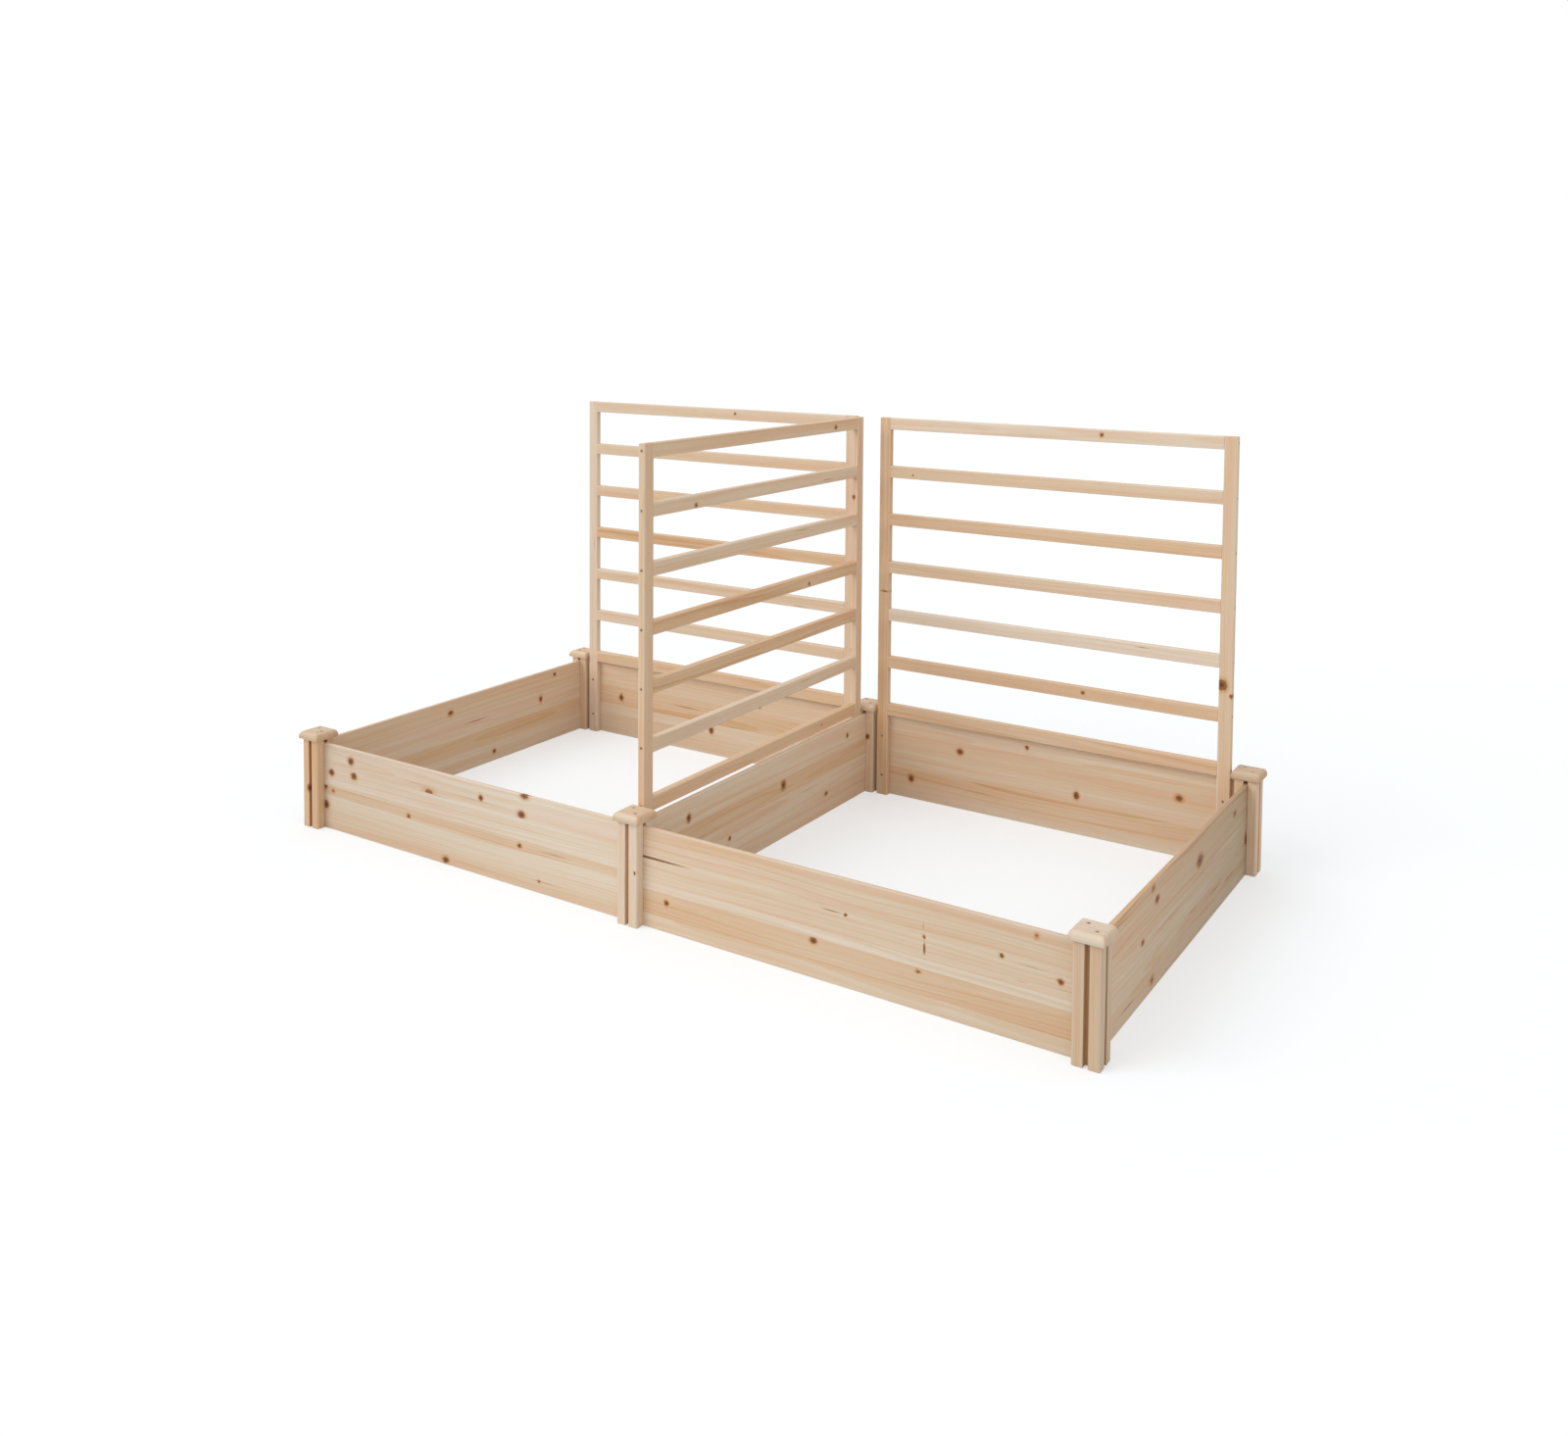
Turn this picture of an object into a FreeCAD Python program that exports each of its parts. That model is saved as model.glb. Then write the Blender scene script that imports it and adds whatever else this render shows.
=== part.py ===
import FreeCAD, Part
import os
import Sketcher

# A two-bay raised planter of fir: six posts grooved on all four sides, seven alike boards that slide into
# the grooves, six screwed caps, and three alike trellis panels that stand inside the boards.
# Lengths are in millimetres. +Z is up, +X runs along the two bays and +Y to the back. The origin lies on
# the ground, under the middle of the planter.

document = FreeCAD.newDocument("planter")
sheet = document.addObject("Spreadsheet::Sheet", "Sizes")

SIZES = {
    # bays and boards
    "bay_clear": 1080,
    "panel_height": 240,
    "panel_thickness": 10,
    # posts
    "post_side": 60,
    "post_round": 2.5,
    "groove_depth": 15,
    "slide_clearance": 0.5,
    "end_clearance": 1,
    # caps
    "cap_gap": 11,
    "cap_overhang": 8,
    "cap_thickness": 20,
    "cap_round": 11,
    "cap_screw_offset": 14,
    "cap_screw_bite": 30,
    # trellis panels
    "trellis_height": 1145,
    "trellis_gap": 12,
    "stile_width": 35,
    "rung_width": 35,
    "lath_thickness": 19,
    "rung_pitch": 144,
    "rung_screw_bite": 25,
    "leg_screw_cover": 2,
    # screws, one gauge in three lengths
    "screw_shank": 4,
    "screw_head": 8,
    "screw_tip": 4,
    "screw_point": 1,
    "screw_clearance": 0.1,
    # how far a cut runs past the face that it opens
    "overrun": 1,
}
RUNG_COUNT = 6
LEG_SCREW_HEIGHT_SHARES = (0.25, 0.75)
# the many small screws and their holes have flats instead of round walls
SCREW_FLATS = 8
# how closely an edge is matched to the place where it is looked for
EDGE_TOLERANCE = 1e-4

for row, (alias, value) in enumerate(SIZES.items(), start=1):
    sheet.set(f"A{row}", alias)
    sheet.set(f"B{row}", str(value))
    sheet.setAlias(f"B{row}", alias)
document.recompute()


def of(expression):
    """The same sum with each size's alias written as a reference to the sheet."""
    words = expression.split()
    return " ".join(f"Sizes.{word}" if word in SIZES else word for word in words)


def size(expression):
    """The present value of a sum of sizes."""
    return float(sheet.evalExpression(of(expression)))


# Sums that several pieces share
PITCH = "( bay_clear + post_side )"
POST_HEIGHT = "( panel_height + cap_gap )"
GROOVE_WIDTH = "( panel_thickness + 2 * slide_clearance )"
PANEL_LENGTH = "( bay_clear + 2 * groove_depth - 2 * end_clearance )"
CAP_SIDE = "( post_side + 2 * cap_overhang )"
HOLE = "( screw_shank + 2 * screw_clearance )"
COUNTERSINK = f"( ( screw_head - {HOLE} ) / 2 )"
STILE_PLACE = "( bay_clear / 2 - trellis_gap - stile_width / 2 )"
RUNG_LENGTH = "( bay_clear - 2 * trellis_gap - 2 * stile_width )"
LOWEST_RUNG = f"( trellis_height - {RUNG_COUNT} * rung_pitch - rung_width / 2 )"
TRELLIS_SETBACK = "( ( panel_thickness + lath_thickness ) / 2 )"
LEG_BITE = "( panel_thickness - leg_screw_cover )"


def new_body(label):
    body = document.addObject("PartDesign::Body", label)
    body.Label = label
    return body


def origin_feature(body, role):
    return next(f for f in body.Origin.OriginFeatures if f.Role == role)


def new_sketch(body, plane, offset="0"):
    """A sketch on one of the body's origin planes, moved along that plane's normal by a sum of sizes."""
    sketch = body.newObject("Sketcher::SketchObject", f"{body.Label}_sketch")
    sketch.AttachmentSupport = (origin_feature(body, plane), [""])
    sketch.MapMode = "FlatFace"
    sketch.setExpression("AttachmentOffset.Base.z", of(offset))
    return sketch


def dimension(sketch, kind, ends, expression):
    """A distance or diameter constraint that is bound to a sum of sizes."""
    number = sketch.addConstraint(Sketcher.Constraint(kind, *ends, size(expression)))
    sketch.setExpression(f"Constraints[{number}]", of(expression))


def add_rectangle(sketch, width, low, high):
    """A rectangle centred on the sketch's upright axis; low and high are the places of its level sides."""
    half, bottom, top = size(f"{width} / 2"), size(low), size(high)
    corners = [
        FreeCAD.Vector(-half, bottom, 0),
        FreeCAD.Vector(half, bottom, 0),
        FreeCAD.Vector(half, top, 0),
        FreeCAD.Vector(-half, top, 0),
    ]
    sides = [
        sketch.addGeometry(Part.LineSegment(start, end))
        for start, end in zip(corners, corners[1:] + corners[:1])
    ]
    for side, following in zip(sides, sides[1:] + sides[:1]):
        sketch.addConstraint(Sketcher.Constraint("Coincident", side, 2, following, 1))
    sketch.addConstraint(Sketcher.Constraint("Horizontal", sides[2]))
    for side in sides[1::2]:
        sketch.addConstraint(Sketcher.Constraint("Vertical", side))
    sketch.addConstraint(Sketcher.Constraint("Symmetric", sides[0], 1, sides[0], 2, -2))
    dimension(sketch, "DistanceX", (sides[0], 1, sides[0], 2), width)
    dimension(sketch, "DistanceY", (-1, 1, sides[0], 1), low)
    dimension(sketch, "DistanceY", (-1, 1, sides[2], 1), high)


def add_polygon(sketch, places):
    """A closed outline of straight sides. Each corner is bound to its (across, up) sums of sizes."""
    corners = [FreeCAD.Vector(size(across), size(up), 0) for across, up in places]
    sides = [
        sketch.addGeometry(Part.LineSegment(start, end))
        for start, end in zip(corners, corners[1:] + corners[:1])
    ]
    for side, following in zip(sides, sides[1:] + sides[:1]):
        sketch.addConstraint(Sketcher.Constraint("Coincident", side, 2, following, 1))
    for side, (across, up) in zip(sides, places):
        dimension(sketch, "DistanceX", (-1, 1, side, 1), across)
        dimension(sketch, "DistanceY", (-1, 1, side, 1), up)


def add_screw_outline(sketch, across, up, diameter):
    """A regular polygon about a place: flats square to the sketch's axes, corners on the diameter."""
    angles = [360 / SCREW_FLATS * (corner + 0.5) for corner in range(SCREW_FLATS)]
    add_polygon(sketch, [
        (f"{across} + {diameter} / 2 * cos( {angle} deg )", f"{up} + {diameter} / 2 * sin( {angle} deg )")
        for angle in angles
    ])


def add_pad(body, sketch, length, symmetric=False):
    pad = body.newObject("PartDesign::Pad", f"{body.Label}_pad")
    pad.Profile = sketch
    pad.setExpression("Length", of(length))
    if symmetric:
        pad.SideType = "Symmetric"
    sketch.Visibility = False
    document.recompute()
    return pad


def add_pocket(body, sketch, length, symmetric=False, reverse=False):
    """Cuts the sketch into the body, and stops if that takes nothing away."""
    before = body.Shape.Volume
    pocket = body.newObject("PartDesign::Pocket", f"{body.Label}_pocket")
    pocket.Profile = sketch
    pocket.setExpression("Length", of(length))
    pocket.Reversed = reverse
    if symmetric:
        pocket.SideType = "Symmetric"
    document.recompute()
    if not body.Shape.Volume < before:
        raise RuntimeError(f"a pocket of {body.Label} cuts nothing")
    return pocket


def ease(body, kind, expression, chosen):
    """Adds a Fillet or Chamfer of that size to the edges of the body for which chosen(edge) holds."""
    base = body.Tip
    names = [f"Edge{i}" for i, edge in enumerate(base.Shape.Edges, start=1) if chosen(edge)]
    feature = body.newObject(f"PartDesign::{kind}", f"{body.Label}_{kind.lower()}")
    feature.Base = (base, names)
    feature.setExpression("Radius" if kind == "Fillet" else "Size", of(expression))
    document.recompute()
    return feature


def is_screw_hole(edge):
    return edge.Length < size("screw_shank")


def is_upright(edge):
    return max(edge.BoundBox.XLength, edge.BoundBox.YLength) < EDGE_TOLERANCE


def lies_at(edge, axis, expression):
    """True if every point of the edge has that coordinate."""
    low, high = (getattr(edge.BoundBox, f"{axis}{end}") for end in ("Min", "Max"))
    return max(abs(low - size(expression)), abs(high - size(expression))) < EDGE_TOLERANCE


def add_copy(label, original, x, y, z, rotation=FreeCAD.Rotation()):
    """One more of a modelled piece, under its own name, turned, with its place bound to sums of sizes."""
    copy = document.addObject("App::Link", label)
    copy.Label = label
    copy.LinkedObject = original
    copy.Placement = FreeCAD.Placement(FreeCAD.Vector(), rotation)
    for axis, expression in zip("xyz", (x, y, z)):
        copy.setExpression(f"Placement.Base.{axis}", of(expression))
    return copy


def add_group(label, original, spots):
    """One node of separate solids: a copy of the piece at each (x, y, z, rotation)."""
    group = document.addObject("Part::Compound", label)
    group.Label = label
    group.Links = [
        add_copy(f"{label}_{number}", original, *spot) for number, spot in enumerate(spots, start=1)
    ]
    return group


# Posts: a square section, one groove cut for the full height and repeated on the other three sides
def make_post(label):
    body = new_body(label)
    square = new_sketch(body, "XY_Plane")
    add_rectangle(square, "post_side", "- post_side / 2", "post_side / 2")
    add_pad(body, square, POST_HEIGHT)
    groove = new_sketch(body, "XY_Plane")
    add_rectangle(groove, GROOVE_WIDTH, "post_side / 2 - groove_depth", "post_side / 2 + overrun")
    cut = add_pocket(body, groove, POST_HEIGHT, reverse=True)
    turned = body.newObject("PartDesign::PolarPattern", f"{label}_grooves")
    turned.Originals = [cut]
    turned.Axis = (origin_feature(body, "Z_Axis"), [""])
    turned.Angle = 360
    turned.Occurrences = 4
    body.Tip = turned
    document.recompute()
    ends = ("post_side / 2", "- post_side / 2")
    ease(body, "Fillet", "post_round", lambda edge: is_upright(edge)
         and any(lies_at(edge, "X", end) for end in ends) and any(lies_at(edge, "Y", end) for end in ends))
    holes = new_sketch(body, "XY_Plane", POST_HEIGHT)
    for side in ("", "- "):
        add_screw_outline(holes, f"{side}cap_screw_offset", f"- {side}cap_screw_offset", HOLE)
    add_pocket(body, holes, "cap_screw_bite + screw_clearance")
    return body


# Caps: a square of thicker board, rounded over on top, with two countersunk holes on a diagonal
def make_cap(label):
    body = new_body(label)
    square = new_sketch(body, "XY_Plane")
    add_rectangle(square, CAP_SIDE, f"- {CAP_SIDE} / 2", f"{CAP_SIDE} / 2")
    add_pad(body, square, "cap_thickness")
    ease(body, "Fillet", "cap_round", lambda edge: lies_at(edge, "Z", "cap_thickness"))
    holes = new_sketch(body, "XY_Plane", "cap_thickness")
    for side in ("", "- "):
        add_screw_outline(holes, f"{side}cap_screw_offset", f"- {side}cap_screw_offset", HOLE)
    add_pocket(body, holes, "cap_thickness")
    ease(body, "Chamfer", COUNTERSINK, lambda edge: is_screw_hole(edge)
         and lies_at(edge, "Z", "cap_thickness"))
    return body


# Boards: edge-glued panels that stand on the ground with both ends in grooves. A board that carries a
# trellis has blind holes for its screws.
def make_board(label, carries_trellis):
    body = new_body(label)
    section = new_sketch(body, "XY_Plane")
    add_rectangle(section, PANEL_LENGTH, "- panel_thickness / 2", "panel_thickness / 2")
    add_pad(body, section, "panel_height")
    if carries_trellis:
        holes = new_sketch(body, "XZ_Plane", "panel_thickness / 2")
        for share in LEG_SCREW_HEIGHT_SHARES:
            for side in ("", "- "):
                add_screw_outline(holes, f"{side}{STILE_PLACE}", f"{share} * panel_height", HOLE)
        add_pocket(body, holes, f"{LEG_BITE} + screw_clearance")
    return body


# Stiles: the uprights of a trellis. Rung screws pass through their width, leg screws through their
# thickness.
def make_stile(label, outer):
    body = new_body(label)
    section = new_sketch(body, "XY_Plane")
    add_rectangle(section, "stile_width", "- lath_thickness / 2", "lath_thickness / 2")
    add_pad(body, section, "trellis_height")
    rung_hole = new_sketch(body, "YZ_Plane")
    add_screw_outline(rung_hole, "0", LOWEST_RUNG, HOLE)
    first = add_pocket(body, rung_hole, "stile_width + overrun", symmetric=True)
    row = body.newObject("PartDesign::LinearPattern", f"{label}_rung_holes")
    row.Originals = [first]
    row.Direction = (origin_feature(body, "Z_Axis"), [""])
    row.setExpression("Length", of(f"{RUNG_COUNT} * rung_pitch"))
    row.Occurrences = RUNG_COUNT + 1
    body.Tip = row
    document.recompute()
    leg_holes = new_sketch(body, "XZ_Plane")
    for share in LEG_SCREW_HEIGHT_SHARES:
        add_screw_outline(leg_holes, "0", f"{share} * panel_height", HOLE)
    add_pocket(body, leg_holes, "lath_thickness + overrun", symmetric=True)
    head_faces = (("X", f"{outer} * stile_width / 2"), ("Y", "- lath_thickness / 2"))
    ease(body, "Chamfer", COUNTERSINK, lambda edge: is_screw_hole(edge)
         and any(lies_at(edge, axis, place) for axis, place in head_faces))
    return body


# Rungs, and the top rail, which is the same piece: a lath between the stiles, with a pilot hole in each end
def make_rung(label):
    body = new_body(label)
    section = new_sketch(body, "YZ_Plane")
    add_rectangle(section, "lath_thickness", "- rung_width / 2", "rung_width / 2")
    add_pad(body, section, RUNG_LENGTH, symmetric=True)
    hole = new_sketch(body, "YZ_Plane", f"{RUNG_LENGTH} / 2")
    add_screw_outline(hole, "0", "0", HOLE)
    drilled = add_pocket(body, hole, "rung_screw_bite + screw_clearance")
    both = body.newObject("PartDesign::Mirrored", f"{label}_ends")
    both.Originals = [drilled]
    both.MirrorPlane = (origin_feature(body, "YZ_Plane"), [""])
    body.Tip = both
    document.recompute()
    return body


# Screws: a countersunk head flush at z = 0, a plain shank and a point, lofted through four outlines
def make_screw(label, length):
    body = new_body(label)
    shoulder = "( screw_head / 2 - screw_shank / 2 )"
    outlines = []
    for depth, diameter in (
        ("0", "screw_head"),
        (shoulder, "screw_shank"),
        (f"( {length} - screw_tip )", "screw_shank"),
        (length, "screw_point"),
    ):
        outline = new_sketch(body, "XY_Plane", f"- {depth}")
        add_screw_outline(outline, "0", "0", diameter)
        outlines.append(outline)
    loft = body.newObject("PartDesign::AdditiveLoft", f"{label}_loft")
    loft.Profile = outlines[0]
    loft.Sections = outlines[1:]
    loft.Ruled = True
    document.recompute()
    return body


post = make_post("post")
cap = make_cap("cap")
plain_board = make_board("plain_board", False)
trellis_board = make_board("trellis_board", True)
stiles = {side: make_stile(f"{name}_stile", side) for side, name in ((-1, "first"), (1, "second"))}
rung = make_rung("rung")
cap_screw = make_screw("cap_screw", "( cap_thickness + cap_screw_bite )")
rung_screw = make_screw("rung_screw", "( stile_width + rung_screw_bite )")
leg_screw = make_screw("leg_screw", f"( lath_thickness + {LEG_BITE} )")

UP = FreeCAD.Vector(0, 0, 1)
ALONG_X = FreeCAD.Rotation(UP, 0)
ALONG_Y = FreeCAD.Rotation(UP, -90)
HEAD_OUTWARD = {side: FreeCAD.Rotation(FreeCAD.Vector(0, 1, 0), 90 * side) for side in stiles}
HEAD_FORWARD = FreeCAD.Rotation(FreeCAD.Vector(1, 0, 0), 90)

pieces = []

# Six posts and their screwed caps, on a grid of one pitch each way
COLUMNS = {"left": f"- {PITCH}", "middle": "0", "right": PITCH}
ROWS = {"front": f"- {PITCH} / 2", "back": f"{PITCH} / 2"}
cap_screw_spots = []
for row_name, y in ROWS.items():
    for column_name, x in COLUMNS.items():
        pieces.append(add_copy(f"post_{row_name}_{column_name}", post, x, y, "0"))
        pieces.append(add_copy(f"cap_{row_name}_{column_name}", cap, x, y, POST_HEIGHT))
        for side in ("", "- "):
            cap_screw_spots.append((f"{x} + {side}cap_screw_offset", f"{y} - {side}cap_screw_offset",
                                    f"{POST_HEIGHT} + cap_thickness"))
pieces.append(add_group("cap_screws", cap_screw, cap_screw_spots))

# Seven boards between the posts
BAYS = {"left": f"- {PITCH} / 2", "right": f"{PITCH} / 2"}
for bay_name, x in BAYS.items():
    pieces.append(add_copy(f"board_front_{bay_name}", plain_board, x, ROWS["front"], "0", ALONG_X))
    pieces.append(add_copy(f"board_back_{bay_name}", trellis_board, x, ROWS["back"], "0", ALONG_X))
pieces.append(add_copy("board_left_end", plain_board, COLUMNS["left"], "0", "0", ALONG_Y))
pieces.append(add_copy("board_divider", trellis_board, COLUMNS["middle"], "0", "0", ALONG_Y))
pieces.append(add_copy("board_right_end", plain_board, COLUMNS["right"], "0", "0", ALONG_Y))


def add_trellis(label, centre, turn, stile_names):
    """All the pieces of one panel. centre(along, across) gives the x and y sums of a place in it."""
    rung_spots, leg_spots = [], []
    levels = [f"( {LOWEST_RUNG} + {number} * rung_pitch )" for number in range(RUNG_COUNT + 1)]
    for (side, stile), name in zip(stiles.items(), stile_names):
        middle = f"{side} * {STILE_PLACE}"
        pieces.append(add_copy(f"{label}_{name}", stile, *centre(middle, "0"), "0", turn))
        edge = f"{side} * ( {STILE_PLACE} + stile_width / 2 )"
        for level in levels:
            rung_spots.append((*centre(edge, "0"), level, turn.multiply(HEAD_OUTWARD[side])))
        for share in LEG_SCREW_HEIGHT_SHARES:
            leg_spots.append((*centre(middle, "- lath_thickness / 2"),
                              f"{share} * panel_height", turn.multiply(HEAD_FORWARD)))
    for number, level in enumerate(reversed(levels)):
        name = f"rung_{number}" if number else "top_rail"
        pieces.append(add_copy(f"{label}_{name}", rung, *centre("0", "0"), level, turn))
    pieces.append(add_group(f"{label}_rung_screws", rung_screw, rung_spots))
    pieces.append(add_group(f"{label}_leg_screws", leg_screw, leg_spots))


# Three trellis panels: two against the back boards, and one turned to stand on the left face of the divider
for bay_name, x in BAYS.items():
    add_trellis(
        f"trellis_back_{bay_name}",
        lambda along, across, x=x: (f"{x} + {along}", f"{ROWS['back']} - {TRELLIS_SETBACK} + {across}"),
        ALONG_X,
        ("left_stile", "right_stile"),
    )
add_trellis(
    "trellis_middle",
    lambda along, across: (f"- {TRELLIS_SETBACK} + {across}", f"- ( {along} )"),
    ALONG_Y,
    ("back_stile", "front_stile"),
)

document.recompute()
for item in document.Objects:
    if "Invalid" in item.State or "Error" in item.State:
        raise RuntimeError(f"{item.Label} did not build")
shapes = {piece.Label: Part.getShape(piece) for piece in pieces}
for label, shape in shapes.items():
    if shape.isNull() or not shape.isValid():
        raise RuntimeError(f"{label} is not a valid solid")

os.makedirs("parts", exist_ok=True)
for label, shape in shapes.items():
    shape.exportStep(f"parts/{label}.step")
    print(f"{label}: {len(shape.Solids)} solid(s), {shape.Volume:.1f} mm3")
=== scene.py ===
import bpy
import numpy as np
from mathutils import Matrix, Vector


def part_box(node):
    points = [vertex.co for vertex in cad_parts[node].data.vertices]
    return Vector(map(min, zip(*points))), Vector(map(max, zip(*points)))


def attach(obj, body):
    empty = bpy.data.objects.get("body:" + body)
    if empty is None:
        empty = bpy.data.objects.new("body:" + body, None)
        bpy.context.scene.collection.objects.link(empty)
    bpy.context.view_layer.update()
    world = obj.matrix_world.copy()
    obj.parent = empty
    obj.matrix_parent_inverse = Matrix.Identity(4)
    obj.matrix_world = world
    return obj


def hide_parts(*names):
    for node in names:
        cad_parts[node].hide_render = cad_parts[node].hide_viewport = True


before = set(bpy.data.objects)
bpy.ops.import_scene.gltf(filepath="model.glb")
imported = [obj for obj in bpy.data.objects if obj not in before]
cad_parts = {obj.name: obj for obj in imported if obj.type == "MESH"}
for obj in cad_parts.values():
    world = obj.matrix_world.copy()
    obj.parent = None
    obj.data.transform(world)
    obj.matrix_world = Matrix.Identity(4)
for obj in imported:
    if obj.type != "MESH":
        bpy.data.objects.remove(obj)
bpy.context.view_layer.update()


# Posts: six square fir posts, planed on all four sides, with a groove milled down the middle of each side.
# The boards' ends slide down into the grooves; the grooves that hold no board stay open.
def linear(hex_colour):
    """An sRGB hex value as linear RGBA: each channel goes through the sRGB curve."""
    value = np.array([int(hex_colour[place:place + 2], 16) for place in (1, 3, 5)]) / 255
    curved = ((value + 0.055) / 1.055) ** 2.4
    return (*np.where(value <= 0.04045, value / 12.92, curved).tolist(), 1.0)


def add_node(tree, kind, inputs, stops=(), **settings):
    """Adds a node, sets its settings, and gives each named input a link or a plain value.
    A colour ramp also gets its stops, each a position and a hex colour."""
    node = tree.nodes.new(kind)
    for name, value in settings.items():
        setattr(node, name, value)
    for name, value in inputs.items():
        if isinstance(value, bpy.types.NodeSocket):
            tree.links.new(value, node.inputs[name])
        else:
            node.inputs[name].default_value = value
    for place, (position, colour) in enumerate(stops):
        elements = node.color_ramp.elements
        stop = elements[place] if place < len(elements) else elements.new(position)
        stop.position = position
        stop.color = linear(colour)
    return node


def fir(name, knots=(), streaks=()):
    """Planed, unfinished fir. Pale earlywood and thin tan latewood lines lie on shells round the pith, so
    faces show arches and long lines and end faces show arcs; some stretches are pinker; ragged red-brown
    knots with a dark rim push the lines aside; the sanded surface is dull.
    It reads the piece's grain attribute: metres along the grain, then two distances from the pith; its
    tone, which deepens the wood; its wear and shade, which lightens worn arrises and, as painted shade,
    deepens the insides of grooves; and its share of painted shade, a grey darkening where less light falls.
    A knot or streak is its centre, its reach in those metres, with zero for a direction it runs through,
    and its strength, up to 1 for a black core."""
    ring_width = 0.0046
    late_start, late_full = 0.25, 0.95
    wander_length, wander_width, wander_swing = 0.75, 0.12, 0.024
    band_length, band_width = 0.55, 0.020
    flush_start, flush_full = 0.42, 0.68
    # Real fibres are far finer; these are as coarse as they need to be to show
    fibre_length, fibre_width = 0.035, 0.0013
    jag_size, jag_swing = 0.008, 0.006
    knot_bend, knot_fibre = 0.75, 0.10
    halo_start, halo_full = 0.2, 0.65
    mark_cover = 0.95
    noise_low, noise_high = 0.3, 0.7
    least_rough, most_rough = 0.5, 0.68
    line_relief, relief_depth, relief_strength = 0.6, 0.0004, 0.35
    material = bpy.data.materials.new(name)
    material.use_nodes = True
    tree = material.node_tree
    shader = tree.nodes["Principled BSDF"]
    grain = add_node(tree, "ShaderNodeAttribute", {}, attribute_name="grain").outputs["Vector"]
    tone = add_node(tree, "ShaderNodeAttribute", {}, attribute_name="tone").outputs["Fac"]
    wear_and_shade = add_node(tree, "ShaderNodeAttribute", {}, attribute_name="wear_and_shade").outputs["Fac"]
    painted_shade = add_node(tree, "ShaderNodeAttribute", {}, attribute_name="painted_shade").outputs["Fac"]

    jag = add_node(tree, "ShaderNodeTexNoise", {
        "Vector": grain, "Scale": 1 / jag_size, "Detail": 2.0}).outputs["Color"]
    jag = add_node(tree, "ShaderNodeVectorMath", {
        0: jag, 1: (0.5, 0.5, 0.5)}, operation="SUBTRACT").outputs[0]
    ragged = add_node(tree, "ShaderNodeVectorMath", {
        0: jag, 1: (jag_swing, jag_swing, jag_swing), 2: grain}, operation="MULTIPLY_ADD").outputs[0]
    marks = []
    push = 0.0
    for group, space in ((knots, ragged), (streaks, grain)):
        nearest = 0.0
        for centre, reach, strength in group:
            reach = np.array(reach)
            scale = np.divide(1.0, reach, out=np.zeros(3), where=reach > 0)
            shift = -scale * centre
            place = add_node(tree, "ShaderNodeMapping", {
                "Vector": space, "Location": shift.tolist(), "Scale": scale.tolist()}).outputs[0]
            near = add_node(tree, "ShaderNodeTexGradient", {
                "Vector": place}, gradient_type="SPHERICAL").outputs[1]
            near = add_node(tree, "ShaderNodeMath", {
                0: near, 1: strength}, operation="MULTIPLY").outputs[0]
            nearest = add_node(tree, "ShaderNodeMath", {
                0: near, 1: nearest}, operation="MAXIMUM").outputs[0]
            if group is knots:
                across = add_node(tree, "ShaderNodeSeparateXYZ", {0: place}).outputs["Y"]
                swing = add_node(tree, "ShaderNodeMath", {
                    0: near, 1: across}, operation="MULTIPLY").outputs[0]
                bend = -knot_bend * float(reach[1])
                push = add_node(tree, "ShaderNodeMath", {
                    0: swing, 1: bend, 2: push}, operation="MULTIPLY_ADD").outputs[0]
        marks.append(nearest)
    knot, streak = marks

    wander_place = add_node(tree, "ShaderNodeMapping", {
        "Vector": grain, "Scale": (1 / wander_length, 1 / wander_width, 1 / wander_width)}).outputs[0]
    wander = add_node(tree, "ShaderNodeTexNoise", {
        "Vector": wander_place, "Scale": 1.0, "Detail": 1.5}).outputs["Color"]
    drift = add_node(tree, "ShaderNodeVectorMath", {
        0: wander, 1: (0.0, wander_swing, wander_swing), 2: grain}, operation="MULTIPLY_ADD").outputs[0]
    aside = add_node(tree, "ShaderNodeCombineXYZ", {"Y": push}).outputs[0]
    bent = add_node(tree, "ShaderNodeVectorMath", {0: drift, 1: aside}, operation="ADD").outputs[0]
    from_pith = add_node(tree, "ShaderNodeVectorMath", {
        0: bent, 1: (0.0, 1.0, 1.0)}, operation="MULTIPLY").outputs[0]
    radius = add_node(tree, "ShaderNodeVectorMath", {0: from_pith}, operation="LENGTH").outputs["Value"]
    years = add_node(tree, "ShaderNodeMath", {0: radius, 1: ring_width}, operation="DIVIDE").outputs[0]
    season = add_node(tree, "ShaderNodeMath", {0: years}, operation="FRACT").outputs[0]
    year = add_node(tree, "ShaderNodeMath", {0: years}, operation="FLOOR").outputs[0]
    growth = add_node(tree, "ShaderNodeTexWhiteNoise", {"W": year}, noise_dimensions="1D").outputs["Value"]
    late = add_node(tree, "ShaderNodeMapRange", {
        "Value": season, 1: late_start, 2: late_full}, interpolation_type="SMOOTHSTEP").outputs[0]
    line = add_node(tree, "ShaderNodeMath", {0: late, 1: growth}, operation="MULTIPLY").outputs[0]

    band_place = add_node(tree, "ShaderNodeMapping", {
        "Vector": bent, "Scale": (1 / band_length, 1 / band_width, 1 / band_width)}).outputs[0]
    band = add_node(tree, "ShaderNodeTexNoise", {"Vector": band_place, "Scale": 1.0, "Detail": 3.0})
    fibre_place = add_node(tree, "ShaderNodeMapping", {
        "Vector": bent, "Scale": (1 / fibre_length, 1 / fibre_width, 1 / fibre_width)}).outputs[0]
    fibre = add_node(tree, "ShaderNodeTexNoise", {
        "Vector": fibre_place, "Scale": 1.0, "Detail": 2.0}).outputs[0]
    halo = add_node(tree, "ShaderNodeMapRange", {
        "Value": knot, 1: halo_start, 2: halo_full}, interpolation_type="SMOOTHSTEP").outputs[0]

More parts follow.
